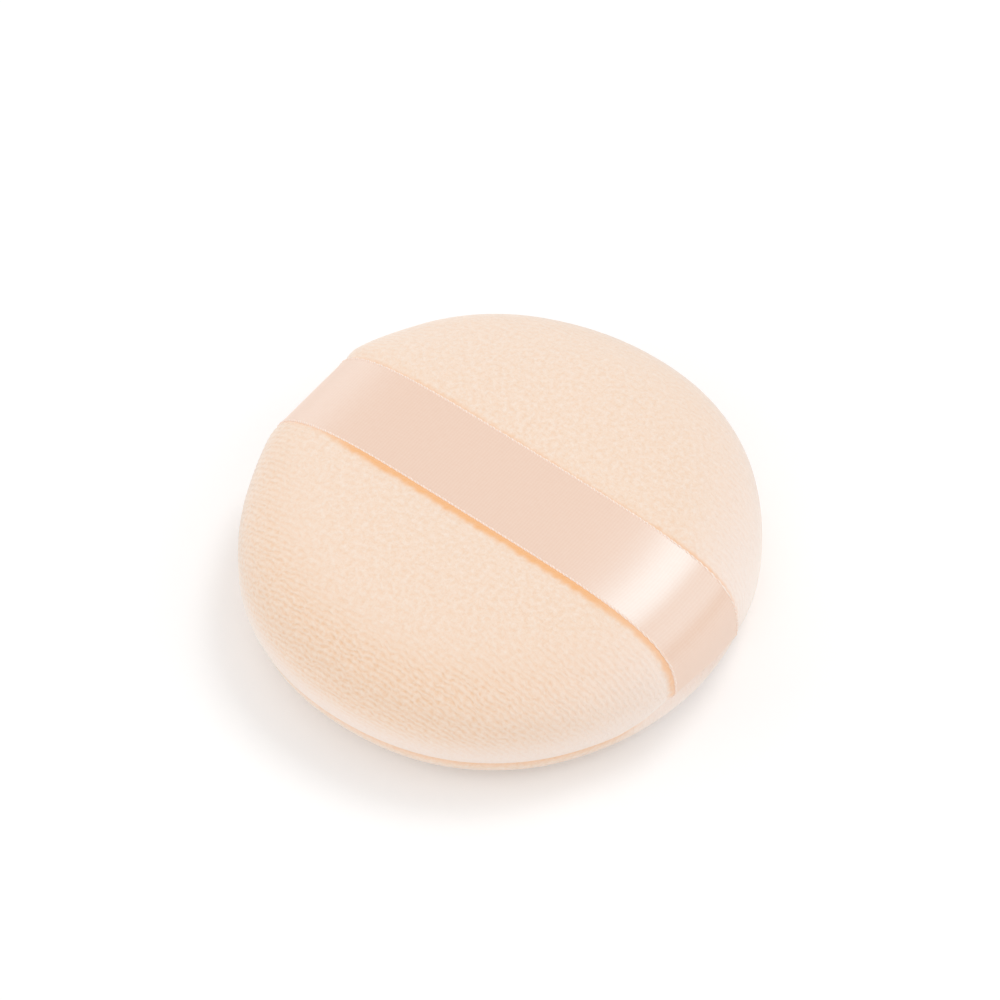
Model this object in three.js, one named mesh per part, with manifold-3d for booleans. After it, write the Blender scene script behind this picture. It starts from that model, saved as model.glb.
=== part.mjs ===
// Round velour powder puff: a foam disc sewn between two velour covers, with a satin ribbon over its back.
// Millimetres, +Z up. The origin is the middle of the resting face, and the ribbon runs along X.
import * as THREE from "three";
import { mergeVertices } from "three/addons/utils/BufferGeometryUtils.js";
import Module from "manifold-3d";

const wasm = await Module();
wasm.setup();

// Pad
const PAD_DIAMETER = 80; // over the fullest part of the rim
const CROWN_HEIGHT = 23.7; // top of the back above the resting face
const SEAM_HEIGHT = 6; // seam line above the resting face
const RIM_ROLL = 1.6; // from the seam line up, and down, to the fullest part of each cover
const SEAM_TUCK = 1.2; // how far the seam line is drawn in from the rim
const BACK_FULLNESS = 3.4; // exponent of the back's profile: 2 is an ellipse, and more is boxier
const FACE_FULLNESS = 2.2; // the same for the rounded edge of the face
const FACE_ROUNDING = 11; // width of that rounded edge
const FACE_TUCK = 1; // the face is gathered in this far short of the back's rim
const BIAS_STRETCH = 0.01; // the knit gives this share more along one diagonal
const BIAS_ANGLE = THREE.MathUtils.degToRad(79); // of that diagonal, from the ribbon

// Velour covers
const COVER_THICKNESS = 1.6; // knitted ground and pile
const SEAM_ALLOWANCE = 4; // turned-in edge, from the seam line to the raw edge
const ALLOWANCE_THICKNESS = 0.8; // the turned-in edge, with its pile pressed flat

// Satin ribbon
const RIBBON_WIDTH = 15;
const RIBBON_THICKNESS = 0.4;
const RIBBON_SINK = 0.7; // how far the ribbon presses the crown in
const RIBBON_FULLNESS = 4; // exponent of the ribbon's path over the back
const RIBBON_PULL = 2; // how far the ribbon draws the rim in
const PULL_RUNOUT = 4; // the pull and the press die out over this distance beside the ribbon
const PULL_DEPTH = 26; // the pull starts this far in from the rim
const PULL_FULL = 9; // from here to the rim it is full

// Sewing thread
const THREAD_DIAMETER = 0.5;
const STITCH_LENGTH = 6;
const CLOSING_LENGTH = 30; // the gap that the puff was turned through, sewn up last
const CLOSING_ANGLE = THREE.MathUtils.degToRad(90); // where that gap is, from the ribbon's right end
const THREAD_BEND = 0.4; // radius of the thread's bend into a needle hole

const FIT_GAP = 0.3; // clearance between neighbouring pieces

// Facets
const ROUND_SEGMENTS = 60;
const OUTER_STEPS = 7;
const INNER_STEPS = 3;
const ROLL_STEPS = 2;
const RIBBON_STEPS = 14;
const THREAD_SIDES = 5;
const HOLE_SIDES = 6;

// Places that several pieces share
const rimRadius = PAD_DIAMETER / 2;
const seamRadius = rimRadius - SEAM_TUCK;
const rawRadius = seamRadius - SEAM_ALLOWANCE;
const faceRadius = rimRadius - FACE_TUCK;
const wallRadius = faceRadius - COVER_THICKNESS; // inner wall of the tighter cover, beside the seam
const flatRadius = faceRadius - FACE_ROUNDING;
const needleRadius = THREAD_DIAMETER / 2 + FIT_GAP;
const stitchRadius = Math.min(seamRadius, wallRadius) - needleRadius - FIT_GAP;
const allowanceFace = FIT_GAP / 2; // each allowance's seam face, from the seam line
const allowanceBack = allowanceFace + ALLOWANCE_THICKNESS;
const threadRun = allowanceBack + FIT_GAP + THREAD_DIAMETER / 2; // the stitches, from the seam line
const seamRoom = threadRun + THREAD_DIAMETER / 2 + FIT_GAP; // left free by the foam, from the seam line
const backFullest = SEAM_HEIGHT + RIM_ROLL;
const faceFullest = SEAM_HEIGHT - RIM_ROLL;
const ribbonReach = rimRadius - RIBBON_PULL + FIT_GAP; // ribbon's inner side at its ends
const grooveHalf = RIBBON_WIDTH / 2 + FIT_GAP; // half the floor of the groove that it lies in

const stitchCount = 2 * Math.round((Math.PI * stitchRadius) / STITCH_LENGTH);
const stitchAngle = (2 * Math.PI) / stitchCount;

// Point maps: how the round pad settles into its sewn shape

// The knit's stretch along the bias, which every piece follows.
function stretchOnBias(p) {
  const along = new THREE.Vector3(Math.cos(BIAS_ANGLE), Math.sin(BIAS_ANGLE), 0);
  const across = new THREE.Vector3(-along.y, along.x, 0);
  const longer = along.multiplyScalar(BIAS_STRETCH * p.dot(along));
  const shorter = across.multiplyScalar(-BIAS_STRETCH * p.dot(across));
  return p.clone().add(longer).add(shorter);
}

// The ribbon's ends press the rim flat and draw it in, and its span presses a shallow groove into the crown.
function settle(p) {
  const { smoothstep } = THREE.MathUtils;
  const beside = 1 - smoothstep(Math.abs(p.y), grooveHalf, grooveHalf + PULL_RUNOUT);
  const inward = smoothstep(Math.abs(p.x), rimRadius - PULL_DEPTH, rimRadius - PULL_FULL);
  const upward = smoothstep(p.z, 0, SEAM_HEIGHT);
  const crownward = smoothstep(p.z, backFullest, CROWN_HEIGHT);
  const flattened = Math.sign(p.x) * (Math.hypot(p.x, p.y) - RIBBON_PULL);
  const x = p.x + beside * inward * upward * (1 - crownward ** 2) * (flattened - p.x);
  const z = p.z - beside * crownward * RIBBON_SINK;
  return stretchOnBias(new THREE.Vector3(x, p.y, z));
}

function reshape(geometry, map) {
  const positions = geometry.getAttribute("position");
  for (let i = 0; i < positions.count; i++) {
    const p = map(new THREE.Vector3().fromBufferAttribute(positions, i));
    positions.setXYZ(i, p.x, p.y, p.z);
  }
  return geometry;
}

// Solids

function bare(geometry) {
  geometry.deleteAttribute("normal");
  geometry.deleteAttribute("uv");
  return mergeVertices(geometry);
}

function solidOf(geometry) {
  const merged = bare(geometry);
  const vertProperties = new Float32Array(merged.getAttribute("position").array);
  const triVerts = new Uint32Array(merged.index.array);
  return new wasm.Manifold(new wasm.Mesh({ numProp: 3, vertProperties, triVerts }));
}

function geometryOf(solid) {
  const mesh = solid.getMesh();
  const geometry = new THREE.BufferGeometry();
  geometry.setAttribute("position", new THREE.BufferAttribute(mesh.vertProperties, 3));
  geometry.setIndex(new THREE.BufferAttribute(mesh.triVerts, 1));
  return geometry;
}

function cut(geometry, tools) {
  return geometryOf(tools.reduce((solid, tool) => solid.subtract(tool), solidOf(geometry)));
}

// A profile of radius and height, revolved about Z and settled into the sewn shape.
function sewnRound(profile) {
  const round = new THREE.LatheGeometry(profile, ROUND_SEGMENTS).rotateX(Math.PI / 2);
  return reshape(bare(round), settle);
}

// Quarter of a superellipse, from the end of its reach to the end of its rise.
function quarter(reach, rise, fullness, steps) {
  return Array.from({ length: steps + 1 }, (_, i) => {
    const turn = ((i / steps) * Math.PI) / 2;
    const out = Math.max(0, Math.cos(turn)) ** (2 / fullness);
    return new THREE.Vector2(reach * out, rise * Math.sin(turn) ** (2 / fullness));
  });
}

const at = (radius, height) => new THREE.Vector2(radius, height);

// Half profiles, each from the rim to the middle

// The back has one ring more, at the edge of the ribbon's groove.
function backProfile(inset, steps) {
  const reach = rimRadius - inset;
  const rise = CROWN_HEIGHT - backFullest - inset;
  const dome = quarter(reach, rise, BACK_FULLNESS, steps);
  const crown = dome.pop();
  const ringRise = rise * (1 - (grooveHalf / reach) ** BACK_FULLNESS) ** (1 / BACK_FULLNESS);
  return [...dome, at(grooveHalf, ringRise), crown].map((p) => at(p.x, backFullest + p.y));
}

function faceProfile(inset, steps) {
  const reach = FACE_ROUNDING - inset;
  const edge = quarter(reach, faceFullest - inset, FACE_FULLNESS, steps);
  return [...edge.map((p) => at(flatRadius + p.x, faceFullest - p.y)), at(0, inset)];
}

// The cover's roll from the seam line out to its fullest part, towards side 1 or -1.
function rimRoll(side) {
  const fullest = side > 0 ? rimRadius : faceRadius;
  const fold = quarter(fullest - seamRadius, RIM_ROLL - allowanceFace, 2, ROLL_STEPS).reverse();
  return fold.slice(0, -1).map((p) => at(seamRadius + p.x, SEAM_HEIGHT + side * (RIM_ROLL - p.y)));
}

// The turned-in edge, from the cover's inner wall round the raw edge, towards side 1 or -1.
function seamAllowance(side) {
  const back = SEAM_HEIGHT + side * allowanceBack;
  return [at(wallRadius, back), at(rawRadius, back), at(rawRadius, SEAM_HEIGHT + side * allowanceFace)];
}

// Needle holes and the pockets that the ribbon's ends are sewn into

function needleHole(index) {
  const turn = index * stitchAngle;
  const height = 2 * (allowanceBack + FIT_GAP);
  const hole = new THREE.CylinderGeometry(needleRadius, needleRadius, height, HOLE_SIDES);
  const place = new THREE.Vector3(Math.cos(turn), Math.sin(turn), 0).multiplyScalar(stitchRadius);
  return solidOf(hole.rotateX(Math.PI / 2).translate(...settle(place.setZ(SEAM_HEIGHT))));
}

// A ribbon end, lying in the seam from the raw edge out to under the ribbon's fall, with room round it.
function ribbonEnd(side, room) {
  const inner = rawRadius - RIBBON_PULL - room;
  const outer = ribbonReach + RIBBON_THICKNESS + room;
  const end = new THREE.BoxGeometry(outer - inner, RIBBON_WIDTH + 2 * room, RIBBON_THICKNESS + 2 * room);
  return reshape(end.translate((side * (inner + outer)) / 2, 0, SEAM_HEIGHT), stretchOnBias);
}

const needleHoles = Array.from({ length: stitchCount }, (_, i) => needleHole(i));
const ribbonPockets = [-1, 1].map((side) => solidOf(ribbonEnd(side, FIT_GAP)));

// Pieces

function backCover() {
  const inside = backProfile(COVER_THICKNESS, INNER_STEPS).reverse();
  const outside = backProfile(0, OUTER_STEPS);
  const profile = [...inside, ...seamAllowance(1), ...rimRoll(1), ...outside];
  return cut(sewnRound(profile), [...needleHoles, ...ribbonPockets]);
}

function faceCover() {
  const inside = faceProfile(COVER_THICKNESS, INNER_STEPS).reverse();
  const outside = faceProfile(0, OUTER_STEPS);
  const profile = [...inside, ...seamAllowance(-1), ...rimRoll(-1), ...outside].reverse();
  return cut(sewnRound(profile), [...needleHoles, ...ribbonPockets]);
}

// Radius of a half profile at a height, or its rim's where the height lies beyond the rim.
function radiusAt(profile, height) {
  const end = profile.findIndex((p, i) => i > 0 && (p.y - height) * (profile[i - 1].y - height) <= 0);
  if (end < 0) return profile[0].x;
  const [from, to] = [profile[end - 1], profile[end]];
  return THREE.MathUtils.mapLinear(height, from.y, to.y, from.x, to.x);
}

// The foam fills the covers and is slit all round for the seam.
function foamCore() {
  const inset = COVER_THICKNESS + FIT_GAP;
  const slitRadius = rawRadius - FIT_GAP;
  const slitTop = SEAM_HEIGHT + seamRoom;
  const slitBottom = SEAM_HEIGHT - seamRoom;
  const upper = backProfile(inset, INNER_STEPS);
  const lower = faceProfile(inset, INNER_STEPS);
  const slit = [
    at(radiusAt(lower, slitBottom), slitBottom),
    at(slitRadius, slitBottom),
    at(slitRadius, slitTop),
    at(radiusAt(upper, slitTop), slitTop),
  ];
  const below = lower.filter((p) => p.y < slitBottom).reverse();
  const above = upper.filter((p) => p.y > slitTop);
  return sewnRound([...below, ...slit, ...above]);
}

// The ribbon's free span: up from the seam at one end, over the back, and down to the seam at the other.
function ribbonSpan() {
  const foot = SEAM_HEIGHT + RIBBON_THICKNESS / 2 + FIT_GAP;
  const rise = CROWN_HEIGHT - RIBBON_SINK + FIT_GAP - backFullest;
  const side = (extra) => {
    const right = quarter(ribbonReach + extra, rise + extra, RIBBON_FULLNESS, RIBBON_STEPS);
    const half = [at(ribbonReach + extra, foot), ...right.map((p) => at(p.x, backFullest + p.y))];
    const mirrored = half.slice(0, -1).reverse();
    return [...half, ...mirrored.map((p) => at(-p.x, p.y))];
  };
  const outline = new THREE.Shape([...side(RIBBON_THICKNESS), ...side(0).reverse()]);
  const strip = new THREE.ExtrudeGeometry(outline, { depth: RIBBON_WIDTH, bevelEnabled: false });
  return reshape(bare(strip.rotateX(Math.PI / 2).translate(0, RIBBON_WIDTH / 2, 0)), stretchOnBias);
}

function ribbonTail(side) {
  return cut(ribbonEnd(side, 0), needleHoles);
}

// The route of a running stitch through the holes first to last, as angle and height from the seam line.
function stitchRoute(first, last) {
  const bend = THREAD_BEND / stitchRadius;
  const bendMiddle = 1 - Math.SQRT1_2;
  const route = [];
  for (let hole = first; hole <= last; hole++) {
    const turn = hole * stitchAngle;
    const from = (hole % 2 === 0 ? 1 : -1) * threadRun;
    const into = Math.sign(from) * THREAD_BEND;
    route.push([turn - bend, from]);
    route.push([turn - bend * bendMiddle, from - into * bendMiddle]);
    route.push([turn, from - into]);
    route.push([turn, into - from]);
    route.push([turn + bend * bendMiddle, into * bendMiddle - from]);
    route.push([turn + bend, -from]);
  }
  const loose = stitchAngle / 2 - FIT_GAP / stitchRadius; // ends just short of the other thread's end
  route.unshift([first * stitchAngle - loose, route[0][1]]);
  route.push([last * stitchAngle + loose, route.at(-1)[1]]);
  return route;
}

// A tube of thread along the stitches, whose sections stand square to it and level with the pad's radius.
function stitching(first, last) {
  const route = stitchRoute(first, last);
  const place = ([turn, height]) =>
    new THREE.Vector3(stitchRadius * Math.cos(turn), stitchRadius * Math.sin(turn), SEAM_HEIGHT + height);
  const centres = route.map(place);
  const radius = THREAD_DIAMETER / 2;
  const points = [];
  centres.forEach((centre, i) => {
    const before = centres[Math.max(0, i - 1)];
    const after = centres[Math.min(centres.length - 1, i + 1)];
    const tangent = after.clone().sub(before).normalize();
    const outward = new THREE.Vector3(centre.x, centre.y, 0).normalize();
    const upward = new THREE.Vector3().crossVectors(outward, tangent).normalize();
    for (let k = 0; k < THREAD_SIDES; k++) {
      const turn = (k * 2 * Math.PI) / THREAD_SIDES;
      const offset = outward.clone().multiplyScalar(radius * Math.cos(turn));
      points.push(offset.addScaledVector(upward, radius * Math.sin(turn)).add(centre));
    }
  });
  const faces = [];
  for (let i = 0; i < centres.length - 1; i++) {
    for (let k = 0; k < THREAD_SIDES; k++) {
      const a = i * THREAD_SIDES + k;
      const b = i * THREAD_SIDES + ((k + 1) % THREAD_SIDES);
      faces.push(a, a + THREAD_SIDES, b, b, a + THREAD_SIDES, b + THREAD_SIDES);
    }
  }
  const end = (centres.length - 1) * THREAD_SIDES;
  for (let k = 1; k < THREAD_SIDES - 1; k++) {
    faces.push(0, k, k + 1, end, end + k + 1, end + k);
  }
  const tube = new THREE.BufferGeometry().setFromPoints(points).setIndex(faces);
  return reshape(tube, settle);
}

// The closing thread takes the holes along the turning gap, and the seam thread takes all the others.
const closingHoles = Math.round(CLOSING_LENGTH / STITCH_LENGTH);
const firstClosing = Math.round(CLOSING_ANGLE / stitchAngle - closingHoles / 2);
const lastClosing = firstClosing + closingHoles;

// Finishes
const velour = new THREE.MeshStandardMaterial({ color: "#f6dfcb", roughness: 0.95, metalness: 0 });
const satin = new THREE.MeshStandardMaterial({ color: "#f1d3c1", roughness: 0.35, metalness: 0 });
const foam = new THREE.MeshStandardMaterial({ color: "#f7ead6", roughness: 1, metalness: 0 });
const thread = new THREE.MeshStandardMaterial({ color: "#f3d7bd", roughness: 0.7, metalness: 0 });

function piece(name, geometry, material) {
  const mesh = new THREE.Mesh(geometry, material);
  mesh.name = name;
  return mesh;
}

const pad = new THREE.Group();
pad.add(piece("face_cover", faceCover(), velour));
pad.add(piece("back_cover", backCover(), velour));
pad.add(piece("foam_core", foamCore(), foam));
pad.add(piece("ribbon_tail_left", ribbonTail(-1), satin));
pad.add(piece("ribbon_tail_right", ribbonTail(1), satin));
pad.add(piece("seam_thread", stitching(lastClosing + 1, firstClosing - 1 + stitchCount), thread));
pad.add(piece("closing_thread", stitching(firstClosing, lastClosing), thread));

const puff = new THREE.Group();
puff.add(pad);
puff.add(piece("finger_ribbon", ribbonSpan(), satin));

export default puff;
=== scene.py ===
# Round velour powder puff with a satin finger ribbon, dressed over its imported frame. Metres, +Z up.
# The ribbon runs along X, with its left end at -X. The near side is -Y, and the far side is +Y.
import math

import bpy
import numpy as np
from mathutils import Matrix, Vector, noise


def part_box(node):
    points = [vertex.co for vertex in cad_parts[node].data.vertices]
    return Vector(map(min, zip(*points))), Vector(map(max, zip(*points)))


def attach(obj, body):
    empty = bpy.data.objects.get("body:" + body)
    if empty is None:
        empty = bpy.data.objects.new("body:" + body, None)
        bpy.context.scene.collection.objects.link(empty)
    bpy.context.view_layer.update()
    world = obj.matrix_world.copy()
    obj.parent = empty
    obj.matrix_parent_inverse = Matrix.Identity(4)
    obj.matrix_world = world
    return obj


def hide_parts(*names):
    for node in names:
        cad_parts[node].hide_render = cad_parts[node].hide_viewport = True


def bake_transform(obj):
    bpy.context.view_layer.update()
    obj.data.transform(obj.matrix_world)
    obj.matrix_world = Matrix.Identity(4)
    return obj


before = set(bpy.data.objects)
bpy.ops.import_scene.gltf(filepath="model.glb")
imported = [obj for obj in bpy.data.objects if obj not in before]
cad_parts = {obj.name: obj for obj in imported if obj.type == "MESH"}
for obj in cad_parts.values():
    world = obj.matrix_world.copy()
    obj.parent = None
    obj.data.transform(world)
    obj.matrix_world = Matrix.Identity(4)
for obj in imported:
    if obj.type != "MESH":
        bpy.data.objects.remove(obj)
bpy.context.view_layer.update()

MM = 0.001
TINY = 1e-9  # keeps places on the axis clear of a division by nought
NOISE_STEP = (7.3, 3.1, 5.7)  # from one seed's place in the noise to the next one's

# A name that ends in RAMP holds where a smooth change starts and where it is complete.
# Distances beside the ribbon are from its middle line, and those along it are from the pad's axis.

# The pad, as it was cut and sewn
RIM = 40 * MM  # radius over the fullest part of the back
CROWN = 23.7 * MM
SEAM = 6 * MM  # height of the seam
RIM_ROLL = 1.6 * MM  # from the seam up, and down, to the fullest part of each cover
SEAM_TUCK = 1.2 * MM  # how far the seam is drawn in from the rim
SEAM_SLIT = 0.04 * MM  # half the slit that is left between the covers
FACE_TUCK = 1 * MM  # the face is gathered in this far short of the back's rim
FACE_ROUNDING = 11 * MM  # width of the face's rounded edge
ALLOWANCE = 4 * MM  # turned-in edge of each cover
BACK_FULLNESS = 3.4  # exponents of the two covers' profiles: 2 is an ellipse, and more is boxier
FACE_FULLNESS = 2.2
BACK_FULLEST = SEAM + RIM_ROLL  # height of each cover's fullest part
FACE_FULLEST = SEAM - RIM_ROLL
BIAS_STRETCH = 0.01  # share by which the knit gives more along one diagonal
BIAS_ANGLE = math.radians(79)  # of that diagonal, from +X
# The hand-cut rim's unevenness: waves round it, millimetres out, and degrees from +X to the first crest
RIM_WAVES = ((2, 0.1, 68), (3, 0.2, 27), (4, 0.27, 53), (5, 0.14, 10), (6, 0.06, 6))
RIM_WAVE_RAMP = (0.5 * RIM, 0.9 * RIM)  # the radii over which the waves set in

# The foam
CORE_CLEAR = 0.8 * MM  # from the covers' linings
CORE_SLIT = 2.1 * MM  # half the slit that it leaves for the seam

# The filling's pressure, which swells the back where neither the seam nor the ribbon holds it
SWELL_CELLS = (56, 56)
SWELL_FRAMES = 20
SWELL_PRESSURE = 4
SWELL_CAP = 0.9 * MM  # the most that it may swell
SEAM_HOLDS = (7 * MM, 2 * MM)  # the seam's hold starts this far from it, and is full from here
SIMULATED_SIZE = 10  # the cloth is simulated this many times larger, as the solver works in metres

# The ribbon
RIBBON_WIDTH = 15 * MM
RIBBON_EDGE = RIBBON_WIDTH / 2
RIBBON_THICKNESS = 0.3 * MM
RIBBON_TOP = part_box("finger_ribbon")[1][2]
RIBBON_CLEAR = 0.1 * MM  # from the back's rim
RIBBON_SINK = 0.4 * MM  # how far it presses the crown in
RIBBON_BITE = 1.5 * MM  # the pile closes over its edges from this far inside them
RIBBON_FULLNESS = 4  # exponent of its path over the back
GROOVE_RUNOUT = 2.4 * MM  # width of the groove's sides
FULL_RAMP = (9 * MM, 20 * MM)  # beside it, where the dome stops being as full as the ribbon's path
RIM_HOLD_RAMP = (0.45 * RIBBON_WIDTH, 0.65 * RIBBON_WIDTH)  # beside it, where it stops holding the rim round

# The back's rim at the ribbon's ends, where a pair is for the near side and the far side
LEFT_PULL = 2.1 * MM  # how far each end draws the rim in
RIGHT_PULL = 0.3 * MM
LEFT_FLAT = (6.3 * MM, 5.5 * MM)  # the rim is pressed flat this far from the middle line
RIGHT_FLAT = (8 * MM, 7 * MM)
LEFT_RUNOUT = 3.5 * MM  # and is back to its own shape this much further on
RIGHT_RUNOUT = 8 * MM
FAR_LEFT_FADE = 5.5 * MM  # except that the far left is drawn in for longer, fading out over this much
RIGHT_SWELL = (0.4 * MM, 0.1 * MM)  # how far the velour swells out beside the right end
RIGHT_BOW = 0.6  # share of the rim's roundness that the right end keeps, while the left one is flat
PULL_RAMP = (RIM - 26 * MM, RIM - 9 * MM)  # along the ribbon, where all this sets in

# The seam at the ribbon's ends, where a pair is for the left end and the right end
SEAM_DRAW = (0.8 * MM, 1.5 * MM)  # how much further the seam is drawn in
SEAM_LIFT = (2.6 * MM, 0.9 * MM)  # and how far up
LIFT_TILT = (0.08, 0.24)  # rise per length across the ribbon, whose near edge is lifted more than its far one
SEWN_RAMP = (0.2 * RIBBON_WIDTH, 1.15 * RIBBON_WIDTH)  # beside the ribbon, where this dies out
SEWN_OUTER_RAMP = (0.6 * RIM, 0.85 * RIM)  # along the ribbon, where it sets in
SEWN_TOP = 0.65 * CROWN  # the lift reaches up to here
DRAW_REACH = 2.5 * RIM_ROLL  # and the draw this far up and down from the seam

# The ribbon's selvedges
PICOT = 1.3 * MM  # spacing of their loops
PICOT_RADIUS = 0.2 * MM
PICOT_NECK = 0.6  # share of the radius between two loops
PICOT_LOOP = 0.55  # share that a loop adds
PICOT_LIFT = 0.05 * MM  # they stand a little above the satin,
PICOT_OUT = 0.4 * PICOT_RADIUS  # and outside its edge

# The velour
GROUND = 1.1 * MM  # thickness of the knitted ground and the roots of the pile
WALE = 0.93 * MM  # spacing of the knit's rows, which run along the ribbon
TUFT = 1.1 * MM  # length of one tuft along its row
ROW_WAVER = 0.25  # share of their spacing by which the rows wander
WAVER_LENGTH = 5 * MM
PILE_DEPTH = 0.07 * MM  # of the furrows between the rows
FLAT_PILE = 0.2  # share of that depth where the pile is smooth
LUMP = 0.14 * MM  # soft unevenness of the filling
LUMP_LENGTH = 11 * MM
TUFT_RAMP = (6 * MM, 13.5 * MM)  # heights, from the smooth rim, which gets painted sheen, up to the tufts
CROWN_FADE_RAMP = (19 * MM, 23 * MM)  # heights over which the tufts, and their painted shade, fade towards the crown
CROWN_FADE = 0.9  # share of the tufts that is lost there
TUFT_SIDE_ANGLE = math.radians(272)  # the tufts, and the painted shade between them, show most on the slope that faces this way from +X
TUFT_SIDE_FOCUS = 1.5  # exponent: more keeps the tufts closer to that slope
TUFT_SIDE_LEAST = 0.4  # share of them that shows on the opposite slope
PALE_ANGLE = math.radians(10)  # the slope that faces this way is painted paler, as the rim is
PALE_FOCUS = 6  # exponent: more keeps that paler part closer to it
PALE_RAMP = (0.66 * RIM, RIM)  # the radii over which it sets in
FACE_SHEEN_RAMP = (RIBBON_EDGE, 1.3 * RIBBON_WIDTH)  # beside the ribbon, where the face's painted sheen by the ribbon's ends stops
FACE_SHEEN_OUTER_RAMP = (0.75 * RIM, 0.95 * RIM)  # along the ribbon, where that sets in
UV_UNIT = 100 * MM  # cloth length that one UV unit stands for

# The crevices beside the ribbon and the seam, where the pile parts and painted shade deepens the colour to
# orange
CREVICE = 0.95 * MM  # width along the ribbon's near edge
CREVICE_RUNOUT = 1.1 * MM  # over which it fades out
PARTING = 0.4 * MM  # how far its edge wanders
PARTING_LENGTH = 1 * MM
END_RAMP = (0.5 * RIM, 0.78 * RIM)  # along the ribbon, where its ends set in
FOOT_RAMP = (BACK_FULLEST, 11 * MM)  # heights: the crevice is open at the ribbon's feet and closes above
LEFT_CLOSED = 1  # how far the crevice closes at each end
RIGHT_CLOSED = 0.45
CLOSED_WIDTH = 0.8  # share of its width that a closed end loses,
CLOSED_SHADE = 0.6  # and of its painted shade
FAR_CREVICE = 0.5 * CREVICE  # width at the far edge's right end: further left it narrows to nothing
FAR_SHADE = 0.4  # share of the painted shade along the far edge
FAR_END_SHADE = 0.2  # and what the right end adds to it
SEAM_SHADE = 0.5  # share of the painted shade at the seam
SEAM_CREVICE_RAMP = (0.3 * CREVICE, CREVICE + CREVICE_RUNOUT)  # distances from the seam

# Detail of the meshes
BACK_CELLS = (280, 336)
FACE_CELLS = (200, 240)
LINING_CELLS = (40, 48)
DOME_STEPS = 160  # points along the profiles
FACE_STEPS = 80
ROLL_STEPS = 24
RIBBON_STEPS = 200
CORE_STRIDE = 8  # the foam keeps one in so many of the covers' points
CORE_STEPS = 96  # facets round it
CORE_CREASE = math.radians(40)  # edges that turn by more than this stay sharp
RIBBON_CELL = 0.5 * MM
RIBBON_CELLS_ACROSS = 24
RIBBON_CREASE = math.radians(50)
PICOT_RINGS = 6  # to a loop
PICOT_SIDES = 8
PICOT_MERGE = 0.005 * MM  # points that are closer become one, which closes the thread's tube

# Patterns in the materials
ROW_STRAY = 1.1 * MM  # how far the drawn rows stray
STRAY_LENGTH = 2.5 * MM
BREAKS_PER_TUFT = 1.3  # bumps of the noise that breaks the rows into tufts
BREAKS_PER_ROW = 2
FIBRES = 0.8 * MM  # clumps of fibres in the brushed pile: single ones are too fine to show
WEFT = 0.5 * MM  # drawn coarser than in real satin, so that it shows
FLOAT_LENGTH = 1.4 * MM  # one warp thread over the weft
FLOAT_WIDTH = 0.3 * MM
PLY = 0.3 * MM  # spacing of a thread's twist
PORE = 0.7 * MM
WAVE_REPEAT = math.pi / 10  # distance after which a wave texture of scale 1 repeats
# Shares of the velour's deeper colour, from the palest part of a pattern to the deepest: painted shade in the
# rows and tufts, and random tone in the brushed pile
ROW_TONES = (0.62, 1)
TUFT_TONES = (0.38, 1)
BRUSHED_TONES = (0.05, 0.56)
PAINTED_SHEEN_SHARE = 0.65  # share of the painted sheen's colour where it is full
WEAVE_MIX = 0.7  # share of the floats in the satin's weave, over the weft

# Colours, where a pair is for the dark and the light parts of a pattern
VELOUR_TIPS = "#fbe8d8"
# The deeper colour: painted shade between the rows and tufts, and the brushed pile's random darker tone
VELOUR_DEEP_TONE_AND_SHADE = "#f1c49a"
VELOUR_PAINTED_SHEEN = "#fdf0ea"  # painted sheen, pale at the rim and beside the ribbon's ends
VELOUR_CREVICE_SHADE = "#f9b878"  # painted shade in the crevices
VELOUR_SHEEN = "#fff8f2"
SATIN_COLOURS = ("#f8ceb2", "#fedbc4")
SATIN_SHINE = "#b8ecff"  # cool, so that the shine is white on the warm satin
# The yarns' light colours are painted highlights on the plies' crests
SELVEDGE_COLOURS = ("#f9d9c5", "#ffeee2")
THREAD_COLOURS = ("#e9c6a8", "#f7dfc9")
# The foam's dark colour is painted shade in its pores
FOAM_COLOURS = ("#ead6bb", "#fbf0df")
PAPER = "#f7f7f7"
WHITE = "#ffffff"

# Numbers of a Mix node's sockets, because its kinds of value share their names
SHARE, VECTOR_A, VECTOR_B, COLOUR_A, COLOUR_B = 0, 4, 5, 6, 7
MIXED_VECTOR, MIXED_COLOUR = 1, 2

# The camera, set where the photograph was taken from
CAMERA_AZIMUTH = math.radians(37.8)
CAMERA_ELEVATION = math.radians(53.15)
CAMERA_DISTANCE = 900 * MM
PIXELS_PER_MM = 6.53
AIM_HEIGHT = 10 * MM
AIM_PIXEL_ROW = 536.3  # where the pad's axis passes that height, in a frame of 1000
FRAME_PIXELS = 1000
SENSOR = 36  # millimetres

# The studio, in metres
FLOOR_SIZE = 30
FLOOR_GLOW = 0.12  # light that is seen but falls on nothing, so that the paper is white
WORLD_LIGHT = 0.66
# Lamps: name, place, side of the square, watts
LAMPS = (
    ("key", (0.06, 0.52, 0.97), 0.36, 2.3),
    ("side", (0.62, 0.5, 0.7), 0.6, 1.2),
    ("fill", (-0.8, -0.8, 0.45), 0.9, 2.4),
    ("front", (0.55, -0.85, 0.35), 0.8, 1.7),
    ("backdrop", (-0.95, 0.55, 0.35), 0.7, 1.2),
)


# Small tools

def hex_colour(text):
    """An sRGB hex value as a linear colour with alpha."""
    parts = [int(text[i:i + 2], 16) / 255 for i in (1, 3, 5)]
    linear = [c / 12.92 if c <= 0.04045 else ((c + 0.055) / 1.055) ** 2.4 for c in parts]
    return (*linear, 1.0)


def deselect():
    bpy.ops.object.select_all(action="DESELECT")


def pick(obj):
    deselect()
    obj.select_set(True)
    bpy.context.view_layer.objects.active = obj


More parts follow.
